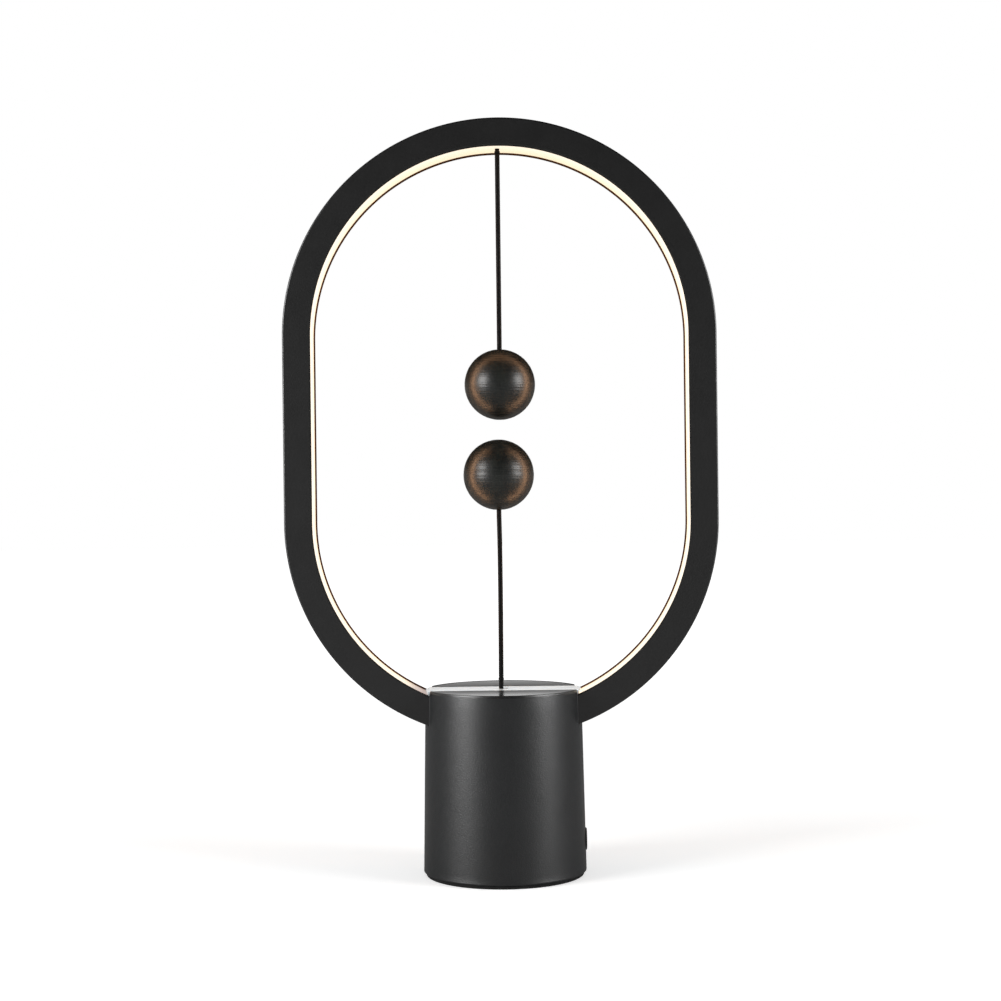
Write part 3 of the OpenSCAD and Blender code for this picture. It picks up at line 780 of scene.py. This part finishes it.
# sides are -1 in front and 1 behind; a hole is its place along X, its radius, start, end and steps
ring = {
    "outer": 70 * mm,
    "inner": {-1: 61 * mm, 1: 60.88 * mm},  # the rear lip shows under the light in front view
    "half": 8.5 * mm, "lip": 1.5 * mm, "seat": 62.55 * mm,
    "channel": 66.2 * mm, "channelHalf": 6.3 * mm,
    "tongueOuter": 68.6 * mm, "tongueInner": 67.6 * mm, "tongueDepth": 1.2 * mm, "gap": 0.1 * mm,
    "edge": 0.5 * mm, "innerEdge": {-1: 0.4 * mm, 1: 0.16 * mm}, "lipEdge": 0.08 * mm,
    "beside": 0.06 * mm, "parting": 0.1 * mm, "sideRows": (0.33, 0.67), "faceRows": (67 * mm, 64 * mm),
    # the lips take lighter or warmer colours than the ring: a painted highlight in front, painted warm glow
    # behind
    "lipPaintedLight": {-1: "frontLipPaintedHighlight", 1: "rearLipPaintedGlow"},
    "holes": ((0, 2.5 * mm, 44 * mm, 56 * mm, 48), (10.5 * mm, 1.7 * mm, 44 * mm, 56 * mm, 48)),
}


# points run from the outer parting edge over the face and the lip to the tongue or its groove
def ringProfile(side):
    g = ring
    outer, half, beside, e = g["outer"], g["half"], g["beside"], g["edge"]
    outline = [(outer - g["parting"], 0), (outer, g["parting"])]
    outline += [(outer, half * share) for share in g["sideRows"]]
    outline += [(outer, half - e - beside)]
    outline += corner(outer - e, half - e, e, 0, 90)
    outline += [(r, half) for r in (outer - e - beside,) + g["faceRows"]]
    inner, flat = g["inner"][side], half - g["lip"]
    e = g["innerEdge"][side]
    outline += [(inner + e + beside, half)]
    outline += corner(inner + e, half - e, e, 90, 180)
    e = g["lipEdge"]
    outline += corner(inner + e, flat + e, e, 180, 270, 3)
    outline += [(g["seat"], flat), (g["seat"], g["channelHalf"])]
    outline += [(g["channel"], g["channelHalf"]), (g["channel"], 0)]
    outline = [(r, side * y) for r, y in outline]
    grow = g["gap"] if side < 0 else 0
    step = -g["tongueDepth"]
    outline += [(g["tongueInner"] - grow, 0), (g["tongueInner"] - grow, step - grow)]
    outline += [(g["tongueOuter"] + grow, step - grow), (g["tongueOuter"] + grow, 0)]
    return outline


def makeRing():
    g = ring
    for name, side, node in (("ringFront", -1, "ring_front_half"), ("ringRear", 1, "ring_rear_half")):
        outline = ringProfile(side)
        lipEnds = g["inner"][side] + 1.01 * g["innerEdge"][side]
        piece = addPiece(name, *swept(outline), "ringPaint", 32)
        # the lip faces get the second slot: painted highlight on the front half, painted glow on the rear
        piece.data.materials.append(finishes[g["lipPaintedLight"][side]])
        for face in piece.data.polygons:
            if outline[face.index % len(outline)][0] < lipEnds:
                face.material_index = 1
        drillUp(piece, g["holes"])
        place(piece, "lamp", node)


diffuser = {"inner": 61.3 * mm, "outer": 62.5 * mm, "half": 6.95 * mm, "edge": 0.12 * mm,
    "holes": ((0, 1.0 * mm, 230 * mm, 244 * mm, 32), (0, 2.5 * mm, 45 * mm, 57 * mm, 48))}


def makeDiffuser():
    d = diffuser
    e = d["edge"]
    outer, inner, half = d["outer"] - e, d["inner"] + e, d["half"] - e
    outline = []
    for r, y, start in ((outer, half, 0), (inner, half, 90), (inner, -half, 180), (outer, -half, 270)):
        outline += corner(r, y, e, start, start + 90, 2)
    piece = addPiece("diffuser", *swept(outline), "litDiffuser", 40)
    drillUp(piece, d["holes"])
    place(piece, "lamp", "ring_diffuser")


makeRing()
makeDiffuser()
print("ring swept")

base = {
    "bottom": 26.5 * mm,
    "top": 25.4 * mm,
    "height": 60.5 * mm,
    "foot": 1.2 * mm,
    "wall": 2 * mm,
    "rim": 0.7 * mm,
    "rimStep": 0.6 * mm, "rimIn": 0.26 * mm, "rimTurn": 0.18 * mm,  # a fine step runs round under the top
    "ledge": 58.35 * mm, "under": 1.2 * mm, "edge": 0.4 * mm, "beside": 0.06 * mm,
    "rows": range(4, 58, 3), "innerRows": (50, 40, 30, 20, 10),
    "slotHalf": 8.65 * mm, "slotFrom": 40 * mm, "slotTo": 70.15 * mm,
    "inletHole": 3.7 * mm, "inletFrom": (20 * mm, 0, 11 * mm), "inletTo": (30 * mm, 0, 11 * mm),
    "steps": 256,
}

# bosses for screws, how far out they stand, and how high each begins and ends
bosses = {
    "radius": 2.8 * mm,
    "hole": 1.3 * mm,
    "roof": 1 * mm,  # what the hole leaves over it
    "saddle": {"away": 21.4, "angles": (55, 125, 235, 305), "low": 44.05 * mm, "high": 53.05 * mm,
        "open": 43 * mm},
    "closing": {"away": 21.86, "angles": (90, 210, 330), "low": 3.25 * mm, "high": 11.25 * mm,
        "open": 3 * mm},
}

# the eased upright edges of the slots, and where their painted highlight lies
easing = {
    "depth": 0.10 * mm, "reach": 0.55 * mm,
    "low": 49.1 * mm, "high": 62 * mm,
    "before": 0.3, "after": 0.2, "beside": 0.02 * mm,
    "highlightFrom": 48 * mm, "highlightIn": 0.15 * mm,
    "turned": (0.9, 0.993),  # how far an eased face looks outward
}


def baseAt(z):
    b = base
    return b["bottom"] - (b["bottom"] - b["top"]) * (z - b["foot"]) / (b["height"] - b["foot"])


def shellOutline():
    b = base
    e = b["edge"]
    turn, beside = b["rimTurn"], b["beside"]
    step = b["height"] - b["rimStep"]
    outline = [(b["bottom"] - b["wall"], b["foot"]), (b["bottom"] - b["under"], b["foot"])]
    outline += corner(b["bottom"] - e, b["foot"] + e, e, -90, 0)
    heights = [b["foot"] + e + beside] + [k * mm for k in b["rows"]] + [step - turn - beside]
    outline += [(baseAt(z), z) for z in heights]
    outline += corner(baseAt(step) - turn, step - turn, turn, 0, 90)
    outline += corner(b["top"] - b["rimIn"] - turn, b["height"] - turn, turn, 0, 90)
    outline += [(b["top"] - b["rim"], b["height"]), (b["top"] - b["rim"], b["ledge"])]
    outline += [(baseAt(b["ledge"]) - b["wall"], b["ledge"])]
    outline += [(baseAt(z * mm) - b["wall"], z * mm) for z in b["innerRows"]]
    return outline


def bossPlaces():
    for kind in (bosses["saddle"], bosses["closing"]):
        for angle in kind["angles"]:
            x = kind["away"] * math.cos(math.radians(angle)) * mm
            y = kind["away"] * math.sin(math.radians(angle)) * mm
            yield x, y, kind


# a thin wedge along one upright edge of a slot, so that the edge is eased and catches light
def slotEasing(sx, sy):
    e = easing
    half = base["slotHalf"]
    far = half + e["reach"]
    verts = []
    for z in (e["low"], e["high"]):
        r = baseAt(z)
        first = Vector((math.sqrt(r * r - far * far), far))
        last = Vector((math.sqrt(r * r - half * half) - e["depth"], half))
        step = last - first
        inner = (first - e["before"] * step, last + e["after"] * step)
        for x, y in inner + tuple(p + Vector((mm, 0)) for p in reversed(inner)):
            verts.append((sx * x, sy * y, z))
    faces = [(0, 1, 2, 3), (7, 6, 5, 4), (0, 4, 5, 1), (1, 5, 6, 2), (2, 6, 7, 3), (3, 7, 4, 0)]
    return addPiece("wedge", verts, faces, None)


def getsPaintedHighlight(face):
    e = easing
    x, y, z = face.center
    half = base["slotHalf"]
    near = half - e["beside"] < abs(y) < half + e["reach"]
    outside = z > e["highlightFrom"] and math.hypot(x, y) > baseAt(z) - e["highlightIn"]
    least, most = e["turned"]
    return near and outside and least < Vector((x, y, 0)).normalized().dot(face.normal) < most


def makeShell():
    b = base
    shell = addPiece("baseShell", *turned(shellOutline(), b["steps"]), "shellPaint", 30)
    for x, y, kind in bossPlaces():
        cutAway(shell, rod((x, y, kind["low"]), (x, y, kind["high"]), bosses["radius"], 40), "UNION")
    cutAway(shell, ringBand(b["slotFrom"], b["slotTo"], -b["slotHalf"], b["slotHalf"]))
    for x, y, kind in bossPlaces():
        drill(shell, (x, y, kind["open"]), (x, y, kind["high"] - bosses["roof"]), bosses["hole"], 24)
    drill(shell, b["inletFrom"], b["inletTo"], b["inletHole"])
    for sx in (-1, 1):
        for sy in (-1, 1):
            cutAway(shell, slotEasing(sx, sy))
    # the eased slot edges get a lighter grey: a painted highlight
    shell.data.materials.append(finishes["slotEdgePaintedHighlight"])
    for face in shell.data.polygons:
        if getsPaintedHighlight(face):
            face.material_index = 1
    place(shell, "lamp", "base_shell")


flatShade = 12  # a low limit for smooth edges, so that the tops shade flat


# an outline in plan, raised from low to high, with its upper rim rounded
def raised(name, outline, spec, finish):
    low, high = spec["low"], spec["high"]
    work = bmesh.new()
    face = work.faces.new([work.verts.new((x, y, low)) for x, y in outline])
    up = bmesh.ops.extrude_face_region(work, geom=[face])
    tops = [v for v in up["geom"] if isinstance(v, bmesh.types.BMVert)]
    bmesh.ops.translate(work, verts=tops, vec=(0, 0, high - low))
    rim = [e for e in work.edges if all(abs(v.co.z - high) < 1e-7 for v in e.verts)]
    bmesh.ops.bevel(work, geom=rim, offset=spec["edge"], segments=3, profile=0.5, affect="EDGES")
    mesh = bpy.data.meshes.new(name)
    work.to_mesh(mesh)
    work.free()
    return dressed(name, mesh, finish, flatShade)


plates = {"radius": 24.6 * mm, "from": 7.05 * mm, "low": 58.4 * mm, "high": 60.4 * mm, "edge": 0.22 * mm,
    "steps": 96, "ringFrom": 60.85 * mm, "ringTo": 72 * mm, "ringHalf": 8.65 * mm}
cover = {"radius": 25.3 * mm, "half": 6.95 * mm, "low": 58.9 * mm, "high": 60.3 * mm, "edge": 0.2 * mm,
    "steps": 24, "ringFrom": 61.25 * mm, "ringTo": 72 * mm, "ringHalf": 8 * mm,
    "holes": [(0, 1.6 * mm, 57 * mm, 62 * mm, 48)]}


def arcPoints(spec, start, sweep):
    turns = [start + sweep * k / spec["steps"] for k in range(spec["steps"] + 1)]
    return [(spec["radius"] * math.cos(t), spec["radius"] * math.sin(t)) for t in turns]


def ringRoom(spec):
    return ringBand(spec["ringFrom"], spec["ringTo"], -spec["ringHalf"], spec["ringHalf"])


def makeTop():
    p = plates
    start = math.asin(p["from"] / p["radius"])
    arc = arcPoints(p, start, math.pi - 2 * start)
    for name, side, node in (("topPlateFront", -1, "top_plate_front"), ("topPlateRear", 1, "top_plate_rear")):
        piece = raised(name, [(x, side * y) for x, y in arc], p, "platePaint")
        cutAway(piece, ringRoom(p), sharp=flatShade)
        place(piece, "lamp", node)
    c = cover
    span = math.asin(c["half"] / c["radius"])
    outline = arcPoints(c, -span, 2 * span)
    outline += [(-x, -y) for x, y in outline]
    strip = raised("coverStrip", outline, c, "palePlastic")
    cutAway(strip, ringRoom(c), sharp=flatShade)
    drillUp(strip, c["holes"], flatShade)
    place(strip, "lamp", "cover_strip")


# a shallow groove runs under it, given in distances from the rim
foot = {"radius": 25.7 * mm, "height": 1.2 * mm, "edge": 0.35 * mm, "steps": 192,
    "groove": (3 * mm, 2.6 * mm, 2.2 * mm, 1.8 * mm), "grooveDepth": 0.15 * mm}


def makeFoot():
    f = foot
    e = f["edge"]
    outline = [(0, 0), (f["radius"] * 0.5, 0)]
    heights = (0, f["grooveDepth"], f["grooveDepth"], 0)
    outline += [(f["radius"] - inward, z) for inward, z in zip(f["groove"], heights)]
    outline += corner(f["radius"] - e, e, e, -90, 0)
    outline += [(f["radius"], f["height"]), (0, f["height"])]
    piece = addPiece("footPad", *turned(outline, f["steps"]), "footRubber", 30)
    place(piece, "lamp", "foot_pad")


# it lies along X: a round nose through the shell and a square housing behind it
inlet = {
    "low": 14.02 * mm, "shoulder": 23.82 * mm, "mouth": 26.668 * mm, "z": 11 * mm,
    "nose": 3.6 * mm, "bore": 1.8 * mm, "depth": 7.3 * mm, "half": 3.5 * mm,
    "edge": 0.25 * mm, "chamfer": 0.3 * mm, "overlap": 0.4 * mm,
    "pin": 0.65 * mm, "pinPlay": 0.01 * mm, "pinIn": 1.15 * mm, "pinTip": 0.25 * mm,
    "steps": 64, "pinSteps": 32,
}


def alongX(outline, steps):
    verts, faces = turned(outline, steps)
    return [(h, y, inlet["z"] + r) for r, y, h in verts], faces


def makeInlet():
    i = inlet
    e, z, nose, half = i["edge"], i["z"], i["nose"], i["half"]
    low, shoulder, mouth = i["low"], i["shoulder"], i["mouth"]
    outline = [(i["pin"], low), (nose - i["chamfer"], low), (nose, low + i["chamfer"])]
    outline += [(nose, shoulder), (nose, mouth - e)]
    outline += corner(nose - e, mouth - e, e, 0, 90, 3)
    outline += corner(i["bore"] + e, mouth - e, e, 90, 180, 3)
    outline += [(i["bore"], mouth - i["depth"]), (i["pin"], mouth - i["depth"])]
    piece = addPiece("powerInlet", *alongX(outline, i["steps"]), "inletPlastic", 30)
    housing = block((low, -half, z - half), (shoulder, half, z + half))
    cutAway(housing, rod((low - mm, 0, z), (shoulder + mm, 0, z), nose - i["overlap"], i["steps"]))
    cutAway(piece, housing, "UNION")
    place(piece, "lamp", "power_inlet")


def makeInletPin():
    i = inlet
    tip = i["pinTip"]
    radius = i["pin"] - i["pinPlay"]
    end = i["mouth"] - i["pinIn"]
    outline = [(0, i["low"]), (radius, i["low"]), (radius, end - tip)]
    outline += [(radius - tip * (1 - math.cos(t)), end - tip + tip * math.sin(t)) for t in (0.5, 1.0, 1.57)]
    outline += [(0, end)]
    pin = addPiece("inletPin", *alongX(outline, i["pinSteps"]), "nickel", 30)
    place(pin, "lamp", "inlet_pin")


makeShell()
makeTop()
makeFoot()
makeInlet()
makeInletPin()
print("base built")

# heights are over the ball's centre; a scratch is its height in millimetres and its depth
ball = {
    "radius": 11.5 * mm, "bore": 4.15 * mm, "floor": -9.5 * mm,
    "plug": 4.13 * mm, "plugFrom": -1.45 * mm, "plugShoulder": 5 * mm, "plugRows": 26,
    "hole": 0.86 * mm,
    "rows": 380, "steps": 128,
    "marks": 0.034 * mm,
    "markWaves": ((4.1, 1.0, 0.3), (9.7, 0.5, 5.1)),  # to a millimetre, share, place in the noise
    "markUneven": (0.9, 0.3),
    "scratchWidth": 0.13,
    "tornTo": 1.9 * mm, "torn": 0.5 * mm, "tornDeep": 0.10 * mm, "tears": 3.1,
}
upperBall = {"x": 0, "z": 159.4 * mm, "up": 1, "seed": 3.0,
    "scratches": [(-2.9, 0.03), (-3.5, 0.02), (3.1, 0.015)]}
lowerBall = {"x": -0.7 * mm, "z": 130 * mm, "up": -1, "seed": 8.0,
    "scratches": [(0.5, 0.035), (1.0, 0.06), (1.6, 0.062), (2.2, 0.04), (-2.2, 0.02)]}


# depth of the tool's marks at a height
def turningMark(height, spec):
    h = height / mm
    depth = 0
    for count, share, where in ball["markWaves"]:
        depth += share * ball["marks"] * noise.noise(Vector((h * count, spec["seed"], where)))
    for at, deep in spec["scratches"]:
        depth -= deep * mm * math.exp(-(((h - at) / ball["scratchWidth"]) ** 2))
    return depth


def onSphere(angle):
    return ball["radius"] * math.sin(angle), ball["radius"] * math.cos(angle)


def woodProfile():
    b = ball
    start = math.asin(b["bore"] / b["radius"])
    outline = [onSphere(start + (math.pi - start) * k / b["rows"]) for k in range(b["rows"])]
    return outline + [(0, -b["radius"]), (0, b["floor"]), (b["bore"], b["floor"]), (b["bore"], 0)]


def plugProfile():
    b = ball
    low = math.asin(b["hole"] / b["radius"])
    high = math.asin(b["plug"] / b["radius"])
    outline = [(b["hole"], b["plugFrom"]), (b["hole"], b["plugShoulder"])]
    outline += [onSphere(low + (high - low) * k / b["plugRows"]) for k in range(b["plugRows"] + 1)]
    return outline + [(b["plug"], b["plugShoulder"]), (b["plug"], b["plugFrom"])]


def makeBall(label, spec, body):
    b = ball
    seed, up = spec["seed"], spec["up"]

    def cutMarks(r, z, angle):
        size = math.hypot(r, z)
        if size < b["radius"] * 0.99:
            return r, z
        uneven = noise.noise(Vector((math.cos(angle), math.sin(angle), seed + 60 * z)))
        least, more = b["markUneven"]
        grow = 1 + turningMark(z * up, spec) * (least + more * uneven) / size
        return r * grow, z * grow

    # the hole's rim is a little torn, as where a drill has lifted the grain
    def tearRim(r, z, angle):
        r, z = cutMarks(r, z, angle)
        if math.hypot(r, z) > b["radius"] * 0.98 and r < b["tornTo"]:
            where = Vector((b["tears"] * math.cos(angle), b["tears"] * math.sin(angle), seed + 9))
            tear = max(0, noise.noise(where))
            share = 1 - (r - b["hole"]) / (b["tornTo"] - b["hole"])
            r += tear * b["torn"] * share
            z -= (b["tornDeep"] + tear * b["torn"]) * share ** 2
        return r, z

    def finish(name, outline, wobble, node):
        verts, faces = turned(outline, b["steps"], wobble=wobble)
        verts = [(v[0] + spec["x"], v[1], up * v[2] + spec["z"]) for v in verts]
        place(addPiece(name, verts, faces, "stainedWood", 40), body, node)

    finish(label + "Ball", woodProfile(), cutMarks, label + "_ball")
    finish(label + "BallPlug", plugProfile(), tearRim, label + "_ball_plug")


makeBall("upper", upperBall, "upper_pendulum")
makeBall("lower", lowerBall, "lower_pendulum")
print("balls turned")

# the inner pieces keep their CAD shape
inside = {
    "innerPlastic": ["closing_plate", "ring_saddle"],
    "screwSteel": ["closing_screws", "saddle_screws", "guide_screws"],
    "ballastSteel": ["ballast"],
    "nylon": ["plunger_guide", "plunger"],
    "springSteel": ["return_spring"],
    "brass": ["contact_bridge", "fixed_contacts"],
    "nickel": ["lower_magnet", "upper_magnet"],
    "circuitBoard": ["circuit_board"],
    "boardParts": ["board_parts"],
    "lightStrip": ["led_strip"],
    "phosphor": ["leds"],
    "leadWire": ["led_leads", "switch_leads"],
}


def dressInside():
    for finish, names in inside.items():
        for name in names:
            for slot in nodes[name].material_slots:
                slot.material = finishes[finish]


dressInside()
print("inner pieces dressed")

studio = {
    "leftBox": {"turn": -59, "rise": 13, "away": 1.05, "width": 0.50, "height": 0.50, "power": 9.2},
    "rightBox": {"turn": 65, "rise": 13, "away": 1.05, "width": 0.46, "height": 0.46, "power": 7.2},
    "aim": (0, 0, 0.12),
    "fill": 0.32,  # the room's own light on the object
    "roomHigh": 0.0,  # what gloss sees of the room over the camera, and level with it
    "roomLow": 0.52,
    "roomEdge": (-0.05, 0.17), "backdropEdge": (0.92, 0.99),
    "floor": (0.86, 0.86, 0.86, 1),
    "floorGloss": (0.38, 0.38, 0.38, 1),
    "floorWhite": (0.46, 0.86),  # near the lamp and far away
    "floorReach": (0.12, 0.9),
    "floorHalf": 4.0, "floorSquares": 8,
}


def addBox(name):
    spec = studio[name]
    data = bpy.data.lights.new(name, "AREA")
    data.shape = "RECTANGLE"
    data.size = spec["width"]
    data.size_y = spec["height"]
    data.energy = spec["power"]
    softBox = linked(name, data)
    turn, rise = math.radians(spec["turn"]), math.radians(spec["rise"])
    toBox = Vector((math.sin(turn) * math.cos(rise), -math.cos(turn) * math.cos(rise), math.sin(rise)))
    aim = Vector(studio["aim"])
    softBox.location = aim + spec["away"] * toBox
    softBox.rotation_mode = "QUATERNION"
    softBox.rotation_quaternion = (aim - softBox.location).to_track_quat("-Z", "Y")


# white to the camera and through glass; gloss sees a dim room and a white backdrop
def makeWorld():
    s = studio
    world = bpy.data.worlds.new("studio")
    scene.world = world
    world.use_nodes = True
    made = Graph(world.node_tree, "Generated")
    back = made.tree.nodes["Background"]
    back.inputs["Color"].default_value = (1, 1, 1, 1)
    camera, gloss, through = (made.rays(kind) for kind in ("Camera", "Glossy", "Transmission"))
    room = made.between(made.axis(2), *s["roomEdge"], s["roomLow"], s["roomHigh"])
    backdrop = made.between(made.axis(1), *s["backdropEdge"])
    seen = room * (1 - backdrop) + backdrop
    other = 1 - camera - gloss - through
    strength = camera + through + gloss * seen + other * s["fill"]
    made.tree.links.new(strength.socket, back.inputs["Strength"])


def makeFloor():
    s = studio
    made = Finish("floorPaper", {"Roughness": 0.9, "Specular IOR Level": 0.0, "Emission Strength": 1.0})
    rays = made.rays("Camera")
    reach = made.add("ShaderNodeVectorMath", {"operation": "LENGTH"}, {0: made.place}, "Value")
    made.colour(rays, s["floorGloss"], s["floor"])
    made.feed("Emission Color", rays * made.between(reach, *s["floorReach"], *s["floorWhite"]))
    count = s["floorSquares"]
    line = [s["floorHalf"] * (2 * i / count - 1) for i in range(count + 1)]
    corners = [j * (count + 1) + i for j in range(count) for i in range(count)]
    mesh = bpy.data.meshes.new("floor")
    mesh.from_pydata([(x, y, 0) for y in line for x in line], [],
        [(k, k + 1, k + count + 2, k + count + 1) for k in corners])
    floor = linked("floor", mesh)
    mesh.materials.append(made.material)


addBox("leftBox")
addBox("rightBox")
makeWorld()
makeFloor()
scene.view_settings.view_transform = "Standard"
print("studio lit")
